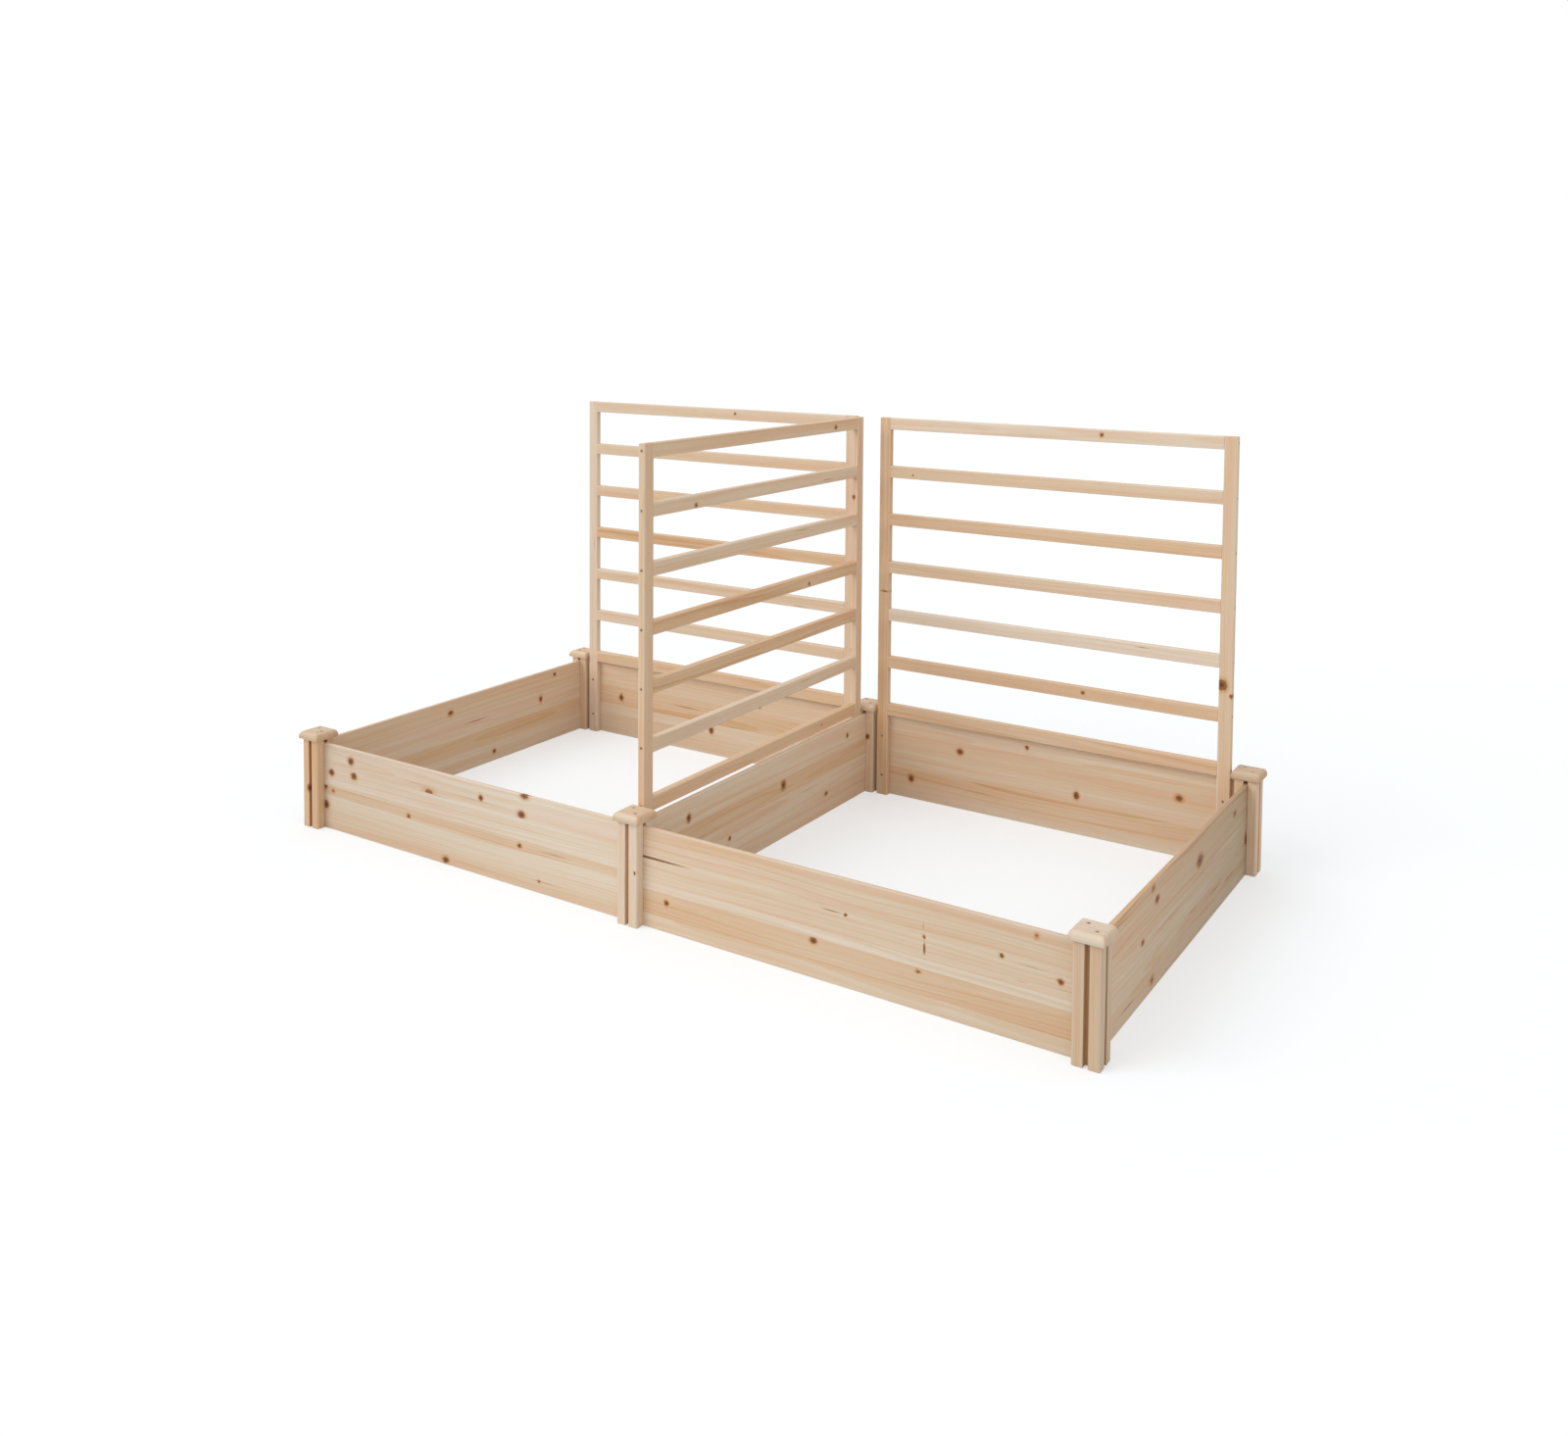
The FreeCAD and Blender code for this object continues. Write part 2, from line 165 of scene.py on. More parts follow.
    depth = tone
    # Wear lightens worn arrises; below zero the same value is painted shade that deepens the insides of
    # grooves
    for layer, weight, middle in ((line, 0.22, 0.25), (band.outputs[0], 0.56, 0.5), (fibre, 0.18, 0.5),
                                  (halo, 0.40, 0.0), (wear_and_shade, -0.14, 0.0)):
        centred = add_node(tree, "ShaderNodeMath", {0: layer, 1: middle}, operation="SUBTRACT").outputs[0]
        depth = add_node(tree, "ShaderNodeMath", {
            0: centred, 1: weight, 2: depth}, operation="MULTIPLY_ADD").outputs[0]
    colour = add_node(tree, "ShaderNodeValToRGB", {"Fac": depth}, [
        (0.0, "#EDE0CF"), (0.18, "#E8D6BF"), (0.38, "#E3CAAD"),
        (0.65, "#DEBA92"), (0.85, "#D1A578"), (1.0, "#B98859")]).outputs["Color"]
    hue = add_node(tree, "ShaderNodeSeparateColor", {0: band.outputs["Color"]}).outputs["Blue"]
    flush = add_node(tree, "ShaderNodeMapRange", {
        "Value": hue, 1: flush_start, 2: flush_full}, interpolation_type="SMOOTHSTEP").outputs[0]
    # The flush tints stretches pinker; the grey tint is painted shade, darkening the wood by its share
    # where less light falls
    for share, tint in ((flush, "#FFF7F6"), (painted_shade, "#C8C6BE")):
        colour = add_node(tree, "ShaderNodeMix", {0: share, 6: colour, 7: linear(tint)},
                          data_type="RGBA", blend_type="MULTIPLY").outputs[2]

    rough_knot = add_node(tree, "ShaderNodeMath", {
        0: fibre, 1: knot_fibre, 2: knot}, operation="MULTIPLY_ADD").outputs[0]
    for mark, start, full, stops in (
            (streak, 0.15, 0.6, [(0.0, "#B57F52"), (1.0, "#6F432A")]),
            (rough_knot, 0.58, 0.74, [(0.58, "#C48A58"), (0.72, "#88522F"), (0.80, "#98603A"),
                                      (0.90, "#6E3F22"), (1.0, "#4A2A1A")])):
        paint = add_node(tree, "ShaderNodeValToRGB", {"Fac": mark}, stops).outputs["Color"]
        cover = add_node(tree, "ShaderNodeMapRange", {
            "Value": mark, 1: start, 2: full, 4: mark_cover}, interpolation_type="SMOOTHSTEP").outputs[0]
        colour = add_node(tree, "ShaderNodeMix", {
            0: cover, 6: colour, 7: paint}, data_type="RGBA").outputs[2]
    tree.links.new(colour, shader.inputs["Base Color"])

    dull = add_node(tree, "ShaderNodeMapRange", {
        "Value": fibre, 1: noise_low, 2: noise_high, 3: least_rough, 4: most_rough}).outputs[0]
    tree.links.new(dull, shader.inputs["Roughness"])
    relief = add_node(tree, "ShaderNodeMath", {
        0: line, 1: line_relief, 2: fibre}, operation="MULTIPLY_ADD").outputs[0]
    bump = add_node(tree, "ShaderNodeBump", {
        "Strength": relief_strength, "Distance": relief_depth, "Height": relief}).outputs[0]
    tree.links.new(bump, shader.inputs["Normal"])
    shader.inputs["IOR"].default_value = 1.5
    shader.inputs["Specular IOR Level"].default_value = 0.35
    return material


def eased_outline(corners, cuts, wears, reach):
    """A closed outline whose corners are eased: each one becomes a parabola from its cut before the corner
    to its cut after it, with one more point on each flat, a reach further on, where the wear of the arris
    has faded to none."""
    t = np.linspace(0, 1, 4)[:, None]
    before = np.roll(corners, 1, axis=0) - corners
    after = np.roll(corners, -1, axis=0) - corners
    before = (before / np.linalg.norm(before, axis=1, keepdims=True))[:, None]
    after = (after / np.linalg.norm(after, axis=1, keepdims=True))[:, None]
    cuts = np.broadcast_to(cuts, len(corners))[:, None, None]
    reach = np.broadcast_to(reach, len(corners))[:, None, None]
    middle = corners[:, None]
    arc = middle + cuts * ((1 - t) ** 2 * before + t ** 2 * after)
    points = np.concatenate([middle + (cuts + reach) * before, arc,
                             middle + (cuts + reach) * after], axis=1)
    fades = np.outer(np.broadcast_to(wears, len(corners)), [0, 1, 1, 1, 1, 0])
    return points.reshape(-1, 2), fades.reshape(-1)


def carried(outline, length, arris, reach):
    """An outline carried along a straight length. The ends are rounded: t runs from 0 on the end face to 1
    on the full outline, at arris t squared along, and drawn in by arris (1 - t) squared. The arris is
    smaller than the tightest curve of the outline, so no end folds. Points are along, across and up."""
    t = np.linspace(0, 1, 4)
    start = np.append(arris * t ** 2, arris + reach)
    inset = np.append(arris * (1 - t) ** 2, 0)
    along = np.concatenate([start, length - start[::-1]])
    inset = np.concatenate([inset, inset[::-1]])
    ahead = np.roll(outline, -1, axis=0) - outline
    ahead /= np.linalg.norm(ahead, axis=1, keepdims=True)
    turned = ahead + np.roll(ahead, 1, axis=0)
    outward = np.stack([turned[:, 1], -turned[:, 0]], axis=1)
    outward /= np.linalg.norm(outward, axis=1, keepdims=True)
    section = outline - inset[:, None, None] * outward
    distance = np.broadcast_to(along[:, None, None], section.shape[:2] + (1,))
    return np.concatenate([distance, section], axis=2)


def stacked_faces(index):
    """Quads between a stack of rings of points, and the rings that close its ends, all facing outwards."""
    ahead = np.roll(index, -1, axis=1)
    quads = np.stack([index[:-1], ahead[:-1], ahead[1:], index[1:]], axis=-1).reshape(-1, 4)
    return quads, [index[0, ::-1], index[-1]]


def put_piece(node, points, faces, corners, material):
    """Makes the mesh that stands for a node, with a value of each attribute at each corner of each face."""
    sharp_degrees = 40
    mesh = bpy.data.meshes.new(node + "_finish")
    mesh.from_pydata(points.tolist(), [], [face.tolist() for face in faces])
    for name, values in corners.items():
        is_vector = values.ndim == 2
        layer = mesh.attributes.new(name, "FLOAT_VECTOR" if is_vector else "FLOAT", "CORNER")
        layer.data.foreach_set("vector" if is_vector else "value", values.astype(np.float32).ravel())
    mesh.materials.append(material)
    mesh.shade_smooth()
    mesh.set_sharp_from_angle(angle=np.radians(sharp_degrees))
    piece = bpy.data.objects.new(node + "_finish", mesh)
    bpy.context.scene.collection.objects.link(piece)
    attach(piece, "root")
    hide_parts(node)


def put_timber(node, rings, wears, axes, place, offsets, tones, splits, material, slot, painted_shades=(0, 0)):
    """A timber from its carried rings. Its staves lie between the splits of its first cross direction, and
    each has its own offset in grain space and its own tone; end faces are a little deeper in tone.
    Its last argument gives its shares of painted shade, a grey darkening where less light falls, at its
    start and at its end."""
    end_depth = 0.22
    local = rings.reshape(-1, 3)
    quads, ends = stacked_faces(np.arange(len(local)).reshape(rings.shape[:2]))
    stave = np.searchsorted(splits, local[quads][:, :, 1].mean(axis=1))
    corner = np.concatenate([quads.ravel(), *ends])
    end_count = len(corner) - quads.size
    corner_stave = np.concatenate([np.repeat(stave, 4), np.zeros(end_count, int)])
    corner_end = np.concatenate([np.zeros(quads.size), np.ones(end_count)])
    corners = {"grain": local[corner] + offsets[corner_stave],
               "tone": tones[corner_stave] + end_depth * corner_end,
               "painted_shade": np.interp(local[corner, 0], [0, local[:, 0].max()], painted_shades),
               "wear_and_shade": np.tile(wears, len(rings))[corner]}
    put_piece(node, local @ axes + place, [*quads, *ends], corners, material)


def fade(value, start, full):
    """A smooth step: 0 up to start, 1 from full on, and 3 s squared less 2 s cubed between them."""
    share = np.clip((value - start) / (full - start), 0, 1)
    return share ** 2 * (3 - 2 * share)


draw = np.random.default_rng(7)
along_x = np.array([[1, 0, 0], [0, 0, 1], [0, -1, 0]])
along_y = np.array([[0, 1, 0], [0, 0, 1], [1, 0, 0]])
along_z = np.array([[0, 0, 1], [1, 0, 0], [0, 1, 0]])
wear_reach = 0.003
groove_width = 0.011
groove_depth = 0.015
post_arris = 0.004
post_end_arris = 0.0006
groove_arris = 0.0009
groove_foot = 0.0005
groove_reach = 0.0012
# How strongly the insides of the grooves are painted with shade
groove_painted_shade = 2.0
post_arris_wear, groove_arris_wear = 0.3, 0.8
post_names = ["post_front_left", "post_front_middle", "post_front_right",
              "post_back_left", "post_back_middle", "post_back_right"]
post_tones = [0.70, 0.30, 0.47, 0.45, 0.42, 0.50]
# Each post's share of painted shade, a grey darkening where less light falls
post_painted_shades = [0.0, 0.0, 0.33, 0.0, 0.0, 0.0]
post_spacing = 0.6
post_pith = np.array([[0.012, 0.055], [-0.03, 0.06], [0.05, 0.045],
                      [0.02, -0.05], [-0.04, 0.06], [0.05, 0.02]])
post_low, post_high = (np.array(corner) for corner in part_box(post_names[0]))
post_height = post_high[2] - post_low[2]
post_half = (post_high[0] - post_low[0]) / 2
groove_half = groove_width / 2
groove_floor = post_half - groove_depth
post_side = np.array([[post_half, -post_half], [post_half, -groove_half], [groove_floor, -groove_half],
                      [groove_floor, groove_half], [post_half, groove_half]])
quarter_turn = np.array([[0, 1], [-1, 0]])
post_corners = np.concatenate([post_side @ np.linalg.matrix_power(quarter_turn, turn) for turn in range(4)])
post_outline, post_wears_and_shade = eased_outline(
    post_corners, np.tile([post_arris, groove_arris, groove_foot, groove_foot, groove_arris], 4),
    np.tile([post_arris_wear, groove_arris_wear, 0.0, 0.0, groove_arris_wear], 4),
    np.tile([wear_reach, groove_reach, wear_reach, wear_reach, groove_reach], 4))
# Painted shade: the insides of the grooves are painted darker than the planed faces, from just inside
# their mouths, for the shade that falls in them
sunk = post_half - np.abs(post_outline).max(axis=1)
in_groove = np.abs(post_outline).min(axis=1) < groove_half + groove_arris / 2
post_wears_and_shade = post_wears_and_shade - groove_painted_shade * in_groove * fade(sunk, 0, groove_arris)
post_rings = carried(post_outline, post_height, post_end_arris, wear_reach)
# How far a knot and its halo reach, in half sizes of its dark core, and how strong a common one is
knot_reach, knot_strength = 3, 0.95
# Knots on posts: which post, height, place across the front, half its width and height, and how deep it
# reaches from the front face, where zero is right through
post_knots = []
for number, height, across, half_width, half_height, reach_in in (
        (0, 0.112, -0.006, 0.005, 0.008, 0), (1, 0.133, 0.024, 0.003, 0.004, 0.02),
        (4, 0.170, 0.012, 0.006, 0.007, 0), (5, 0.090, -0.016, 0.007, 0.008, 0)):
    centre = np.array([height, across, -post_half]) + [post_spacing * number, *post_pith[number]]
    reach = knot_reach * half_height, knot_reach * half_width, reach_in
    post_knots.append((centre, reach, knot_strength))
post_fir = fir("planed_fir_posts", post_knots)
for number, name in enumerate(post_names):
    low, high = (np.array(corner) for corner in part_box(name))
    foot = np.array([(low[0] + high[0]) / 2, (low[1] + high[1]) / 2, low[2]])
    offset = np.array([[post_spacing * number, *post_pith[number]]])
    put_timber(name, post_rings, post_wears_and_shade, along_z, foot, offset, np.array([post_tones[number]]), [],
               post_fir, "post_fir", (post_painted_shades[number], post_painted_shades[number]))


# Boards: seven alike panels of fir staves glued edge to edge, planed to one thickness, with lightly eased
# edges. Each slides into the grooves of two posts; the staves differ in tone, and each has its own knots.
def plank(node, arris, reach, glue_heights=()):
    """A straight timber that fills a node's box: a rectangle with eased corners carried along its longest
    side. Its two broad sides get a point at each glue line, given as a height above its lower edge."""
    end_arris_share = 0.6
    low, high = (np.array(corner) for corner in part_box(node))
    axes = (along_x, along_y, along_z)[int(np.argmax(high - low))]
    length, width, thickness = np.abs(axes @ (high - low))
    sides = np.array([[-1, -1], [1, -1], [1, 1], [-1, 1]]) * [width / 2, thickness / 2]
    outline, wears = eased_outline(sides, arris, 1.0, reach)
    glued = np.array(glue_heights) - width / 2
    one_side = np.stack([glued, np.full_like(glued, -thickness / 2)], axis=1)
    per_corner = len(outline) // 4
    spots = np.repeat([per_corner, 3 * per_corner], len(glued))
    outline = np.insert(outline, spots, np.concatenate([one_side, (one_side * [1, -1])[::-1]]), axis=0)
    wears = np.insert(wears, spots, 0.0)
    rings = carried(outline, length, end_arris_share * arris, reach)
    place = (low + high) / 2 - axes[0] * length / 2
    return rings, wears, axes, place


board_arris = 0.0014
stave_spacing, stave_shift = 1.5, 0.3
stave_pith_aside, stave_pith_depths = 0.05, (0.02, 0.07)
# Each board: heights of its glue lines, the tone of each stave from the ground up, its share of painted
# shade, a grey darkening where less light falls, at its two ends where it has any, and its marks. A mark is
# its place along the board from its left or front post, its height, half its length, half its height, and
# its strength.
boards = {
    "board_front_left": {
        "glue_lines": [0.040, 0.095, 0.122, 0.178],
        "tones": [0.43, 0.25, 0.46, 0.20, 0.20], "painted_shades": (0.28, 0.0),
        "knots": [(0.110, 0.207, 0.010, 0.009, 1.0), (0.030, 0.162, 0.009, 0.008, 1.0),
                  (0.122, 0.168, 0.010, 0.009, 1.0), (0.005, 0.118, 0.005, 0.006, 0.95),
                  (0.036, 0.110, 0.007, 0.005, 0.76), (0.006, 0.067, 0.010, 0.010, 1.0),
                  (0.417, 0.181, 0.020, 0.010, 0.80), (0.607, 0.203, 0.007, 0.006, 1.0),
                  (0.759, 0.238, 0.012, 0.008, 0.92), (0.749, 0.188, 0.011, 0.008, 1.0),
                  (0.339, 0.099, 0.006, 0.006, 0.95), (0.742, 0.107, 0.006, 0.0045, 1.0),
                  (0.479, 0.012, 0.009, 0.007, 1.0), (0.808, 0.030, 0.005, 0.004, 0.82)],
        "streaks": [(0.60, 0.193, 0.30, 0.007, 0.35), (0.86, 0.108, 0.13, 0.008, 0.4),
                    (0.22, 0.187, 0.20, 0.012, 0.27), (0.36, 0.196, 0.10, 0.002, 0.5),
                    (0.46, 0.178, 0.08, 0.002, 0.55), (0.16, 0.098, 0.14, 0.004, 0.35),
                    (0.83, 0.030, 0.12, 0.003, 0.45)]},
    "board_front_right": {
        "glue_lines": [0.034, 0.092, 0.113, 0.172],
        "tones": [0.34, 0.54, 0.20, 0.37, 0.40], "painted_shades": (0.0, 0.24),
        "knots": [(0.070, 0.071, 0.005, 0.005, 0.95), (0.475, 0.084, 0.007, 0.006, 1.0),
                  (0.556, 0.161, 0.004, 0.003, 0.95), (0.921, 0.167, 0.0042, 0.004, 1.0),
                  (0.996, 0.227, 0.005, 0.006, 0.74), (0.733, 0.083, 0.006, 0.004, 0.82),
                  (1.048, 0.146, 0.0055, 0.005, 1.0), (0.746, 0.161, 0.003, 0.004, 0.95)],
        "streaks": [(0.0, 0.1685, 0.19, 0.005, 1.0), (0.747, 0.136, 0.005, 0.022, 0.9),
                    (0.744, 0.183, 0.006, 0.022, 0.4), (0.520, 0.162, 0.05, 0.0025, 0.7),
                    (0.985, 0.160, 0.07, 0.002, 0.5), (0.965, 0.125, 0.035, 0.003, 0.4),
                    (1.055, 0.131, 0.04, 0.003, 0.35), (0.30, 0.205, 0.16, 0.003, 0.3),
                    (0.62, 0.192, 0.20, 0.004, 0.28), (0.90, 0.188, 0.16, 0.005, 0.28)]},
    "board_right_end": {
        "glue_lines": [0.052, 0.082, 0.150, 0.205],
        "tones": [0.48, 0.47, 0.42, 0.54, 0.60], "painted_shades": (0.02, 0.88),
        "knots": [(0.963, 0.199, 0.012, 0.008, 0.88), (1.074, 0.097, 0.010, 0.013, 1.0),
                  (0.666, 0.175, 0.018, 0.012, 1.0), (0.322, 0.228, 0.010, 0.007, 0.74),
                  (0.351, 0.194, 0.011, 0.007, 1.0), (0.258, 0.131, 0.009, 0.005, 0.98),
                  (0.325, 0.023, 0.014, 0.010, 0.76)],
        "streaks": [(0.10, 0.225, 0.14, 0.005, 0.5), (0.44, 0.12, 0.20, 0.004, 0.45),
                    (0.80, 0.060, 0.10, 0.003, 0.7), (0.92, 0.050, 0.10, 0.003, 0.75),
                    (0.62, 0.072, 0.07, 0.003, 0.65), (0.17, 0.030, 0.09, 0.003, 0.65),
                    (0.70, 0.140, 0.20, 0.004, 0.4), (0.30, 0.165, 0.18, 0.003, 0.4)]},
    "board_left_end": {
        "glue_lines": [0.060, 0.112, 0.175], "tones": [0.38, 0.58, 0.36, 0.50],
        "knots": [(0.21, 0.09, 0.007, 0.008, 1.0), (0.47, 0.20, 0.010, 0.008, 0.9),
                  (0.66, 0.03, 0.006, 0.006, 1.0), (0.88, 0.15, 0.007, 0.009, 0.95),
                  (0.95, 0.22, 0.005, 0.005, 1.0)],
        "streaks": [(0.58, 0.15, 0.10, 0.004, 0.6)]},
    "board_divider": {
        "glue_lines": [0.045, 0.118, 0.168, 0.214], "tones": [0.50, 0.38, 0.58, 0.42, 0.36],
        "knots": [(0.18, 0.19, 0.007, 0.009, 1.0), (0.36, 0.08, 0.006, 0.006, 0.9),
                  (0.62, 0.15, 0.009, 0.009, 1.0), (0.85, 0.06, 0.008, 0.006, 0.88),
                  (0.97, 0.20, 0.005, 0.006, 1.0)],
        "streaks": [(0.75, 0.10, 0.12, 0.005, 0.4)]},
    "board_back_left": {
        "glue_lines": [0.058, 0.102, 0.162], "tones": [0.44, 0.34, 0.58, 0.42],
        "knots": [(0.14, 0.13, 0.007, 0.009, 1.0), (0.33, 0.21, 0.008, 0.006, 0.9),
                  (0.52, 0.08, 0.008, 0.010, 1.0), (0.71, 0.19, 0.006, 0.006, 0.95),
                  (0.90, 0.05, 0.010, 0.007, 0.88)],
        "streaks": [(0.42, 0.14, 0.12, 0.004, 0.6)]},
    "board_back_right": {
        "glue_lines": [0.036, 0.088, 0.142, 0.198], "tones": [0.38, 0.56, 0.40, 0.50, 0.38],
        "knots": [(0.12, 0.06, 0.007, 0.008, 1.0), (0.28, 0.17, 0.009, 0.008, 0.95),
                  (0.49, 0.22, 0.006, 0.006, 0.9), (0.64, 0.11, 0.007, 0.009, 1.0),
                  (0.93, 0.16, 0.010, 0.008, 0.9)],
        "streaks": [(0.35, 0.06, 0.14, 0.005, 0.4)]}}
bay_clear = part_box("post_front_right")[0][0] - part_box("post_front_middle")[1][0]
for name, board in boards.items():
    rings, wears, axes, place = plank(name, board_arris, wear_reach, board["glue_lines"])
    length = rings[-1, 0, 0]
    width = 2 * rings[:, :, 1].max()
    count = len(board["tones"])
    offsets = np.stack([stave_spacing * np.arange(count) + draw.uniform(0, stave_shift, count),
                        draw.uniform(-stave_pith_aside, stave_pith_aside, count),
                        draw.uniform(*stave_pith_depths, count)], axis=1)
    splits = np.array(board["glue_lines"]) - width / 2
    middles = (np.append(-width / 2, splits) + np.append(splits, width / 2)) / 2
    offsets[:, 1] -= middles
    end_in_groove = (length - bay_clear) / 2
    marks = []
    for kind, widen in (("knots", knot_reach), ("streaks", 1)):
        group = []
        for along, height, half_length, half_height, strength in board[kind]:
            stave = int(np.searchsorted(splits, height - width / 2))
            centre = np.array([along + end_in_groove, height - width / 2, 0]) + offsets[stave]
            group.append((centre, (widen * half_length, widen * half_height, 0), strength))
        marks.append(group)
    put_timber(name, rings, wears, axes, place, offsets, np.array(board["tones"]), splits,
               fir("planed_fir_" + name, *marks), "board_fir", board.get("painted_shades", (0, 0)))


# Trellis panels: each is two stiles with a top rail and six rungs between them, all of one planed fir lath.
# A screw through the stile holds each rung end. The stiles' legs stand against the boards, screwed to them.
lath_arris = 0.0018
lath_spacing = 1.4
lath_pith_aside, lath_pith_depths = 0.03, (0.015, 0.05)
lath_knot_share, lath_knot_radii = 0.4, (0.0022, 0.0055)
lath_knot_ends, lath_knot_aside = (0.06, 0.94), 0.012
lath_knot_reach_along = 3.2
lath_streak_share, lath_streak_reaches, lath_streak_strengths = 0.5, (0.03, 0.10), (0.35, 0.7)
lath_streak_ends, lath_streak_aside, lath_streak_width = (0.1, 0.9), 0.014, 0.0022
lath_names = sorted(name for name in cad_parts
                    if name.startswith("trellis") and not name.endswith("screws"))
# Marks that stand out on laths: place along, place across from the middle, half length and width, strength
lath_marks = {
    "trellis_back_right_right_stile": [(0.490, -0.0095, 0.012, 0.011, 1.0),
                                       (0.463, 0.015, 0.005, 0.004, 0.9)],
    "trellis_back_right_left_stile": [(0.622, 0.004, 0.003, 0.011, 0.8)],
    "trellis_back_right_top_rail": [(0.654, 0.0025, 0.005, 0.005, 0.98)],
    "trellis_middle_back_stile": [(0.443, -0.012, 0.004, 0.004, 0.9)]}
lath_knots = []
lath_streaks = []
lath_offsets = {}
for number, name in enumerate(lath_names):
    pith = draw.uniform(-lath_pith_aside, lath_pith_aside), draw.uniform(*lath_pith_depths)
    offset = np.array([lath_spacing * number, *pith])
    lath_offsets[name] = offset[None]
    low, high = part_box(name)
    length = max(high[axis] - low[axis] for axis in range(3))
    radius = draw.uniform(*lath_knot_radii)
    centre = np.array([draw.uniform(*lath_knot_ends) * length,
                       draw.uniform(-lath_knot_aside, lath_knot_aside), 0]) + offset
    if draw.uniform() < lath_knot_share:
        lath_knots.append((centre, (lath_knot_reach_along * radius, knot_reach * radius, 0), knot_strength))
    for along, across, half_length, half_width, strength in lath_marks.get(name, ()):
        lath_knots.append((np.array([along, across, 0]) + offset,
                           (knot_reach * half_length, knot_reach * half_width, 0), strength))
    if draw.uniform() < lath_streak_share:
        centre = np.array([draw.uniform(*lath_streak_ends) * length,
                           draw.uniform(-lath_streak_aside, lath_streak_aside), 0]) + offset
        lath_streaks.append((centre, (draw.uniform(*lath_streak_reaches), lath_streak_width, 0),
                             draw.uniform(*lath_streak_strengths)))
lath_fir = fir("planed_fir_laths", lath_knots, lath_streaks)
# Tones of the laths that stand out; the others lie in the common range
common_tones = (0.36, 0.58)
lath_tones = {"trellis_back_left_left_stile": 0.30, "trellis_back_left_rung_3": 0.72,
              "trellis_back_right_left_stile": 0.62, "trellis_back_right_top_rail": 0.25,
              "trellis_back_right_rung_2": 0.58, "trellis_back_right_rung_4": 0.20,
              "trellis_back_right_rung_5": 0.60, "trellis_middle_front_stile": 0.55,
              "trellis_middle_rung_3": 0.70, "trellis_middle_rung_4": 0.66}
for name in lath_names:
    tone = np.array([lath_tones.get(name, draw.uniform(*common_tones))])
    put_timber(name, *plank(name, lath_arris, wear_reach), lath_offsets[name], tone, [],
               lath_fir, "trellis_fir")


# Caps: thick fir squares with the top edges rounded over, sitting on the posts and closing their grooves.
# Two screws on a diagonal, their heads sunk a little below the top, hold each one to its post.
def edge_loop(index):
    """The rim of a square grid of point numbers, once round, anticlockwise seen from above."""
    return np.concatenate([index[:-1, 0], index[-1, :-1], index[:0:-1, -1], index[0, :0:-1]])


def grid_faces(index):
    """The quads of a grid of point numbers, facing up."""
    quads = np.stack([index[:-1, :-1], index[1:, :-1], index[1:, 1:], index[:-1, 1:]], axis=-1)
    return quads.reshape(-1, 4)


cap_round = 0.011
cap_plan_corner = 0.0012
cap_foot = 0.0008
cap_soften = 5
cap_end_depth = 0.2
cap_wear_peak = 0.4
cap_spacing = 0.4
cap_pith_aside, cap_pith_depths = 0.03, (0.01, 0.05)
well_radius = 0.0046
well_depth = 0.0020
well_wall = 0.0005
screw_offset = 0.014
cap_names = [name.replace("post", "cap") for name in post_names]
cap_tones = [0.44, 0.42, 0.22, 0.45, 0.42, 0.42]
# Each cap's share of painted shade, a grey darkening where less light falls
cap_painted_shades = [0.25, 0.12, 0.2, 0.1, 0.0, 0.45]
cap_low, cap_high = (np.array(corner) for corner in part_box(cap_names[0]))
cap_half = (cap_high[0] - cap_low[0]) / 2
cap_thickness = cap_high[2] - cap_low[2]
flat = cap_half - cap_round
well_reach = well_radius + 2 * well_wall
well_points, inner_points, outer_points, round_points = 24, 5, 4, 8
well_lines = np.linspace(screw_offset - well_reach, screw_offset + well_reach, well_points)
one_side = np.concatenate([np.linspace(0, well_lines[0], inner_points)[1:-1], well_lines,
                           np.linspace(well_lines[-1], flat, outer_points)[1:],
                           flat + cap_round * np.sin(np.linspace(0, np.pi / 2, round_points))[1:]])
lines = np.concatenate([-one_side[::-1], [0], one_side])
# The top is a height over a square grid. Its plan corners are drawn in to arcs by the square-to-disc rule,
# and the height falls in a quarter round by the distance past the flat, with two screw wells sunk into it.
plan = np.stack(np.meshgrid(lines, lines, indexing="ij"), axis=-1)
past = np.clip((np.abs(plan) - cap_half + cap_plan_corner) / cap_plan_corner, 0, 1)
drawn = past * np.sqrt(1 - past[..., ::-1] ** 2 / 2)
plan = plan - np.sign(plan) * cap_plan_corner * (past - drawn)
over = np.clip((np.abs(plan) - flat) / cap_round, 0, 1)
fall = np.clip((over ** cap_soften).sum(axis=-1) ** (1 / cap_soften), 0, 1)
top = cap_thickness - cap_round * (1 - np.sqrt(1 - fall ** 2))
for sense in (-1, 1):
    from_screw = np.hypot(plan[..., 0] - sense * screw_offset, plan[..., 1] + sense * screw_offset)
    top = top - well_depth * (1 - fade(from_screw, well_radius - well_wall, well_radius + well_wall))
cap_grid = np.concatenate([plan, top[..., None]], axis=-1).reshape(-1, 3)
grid_index = np.arange(len(cap_grid)).reshape(top.shape)
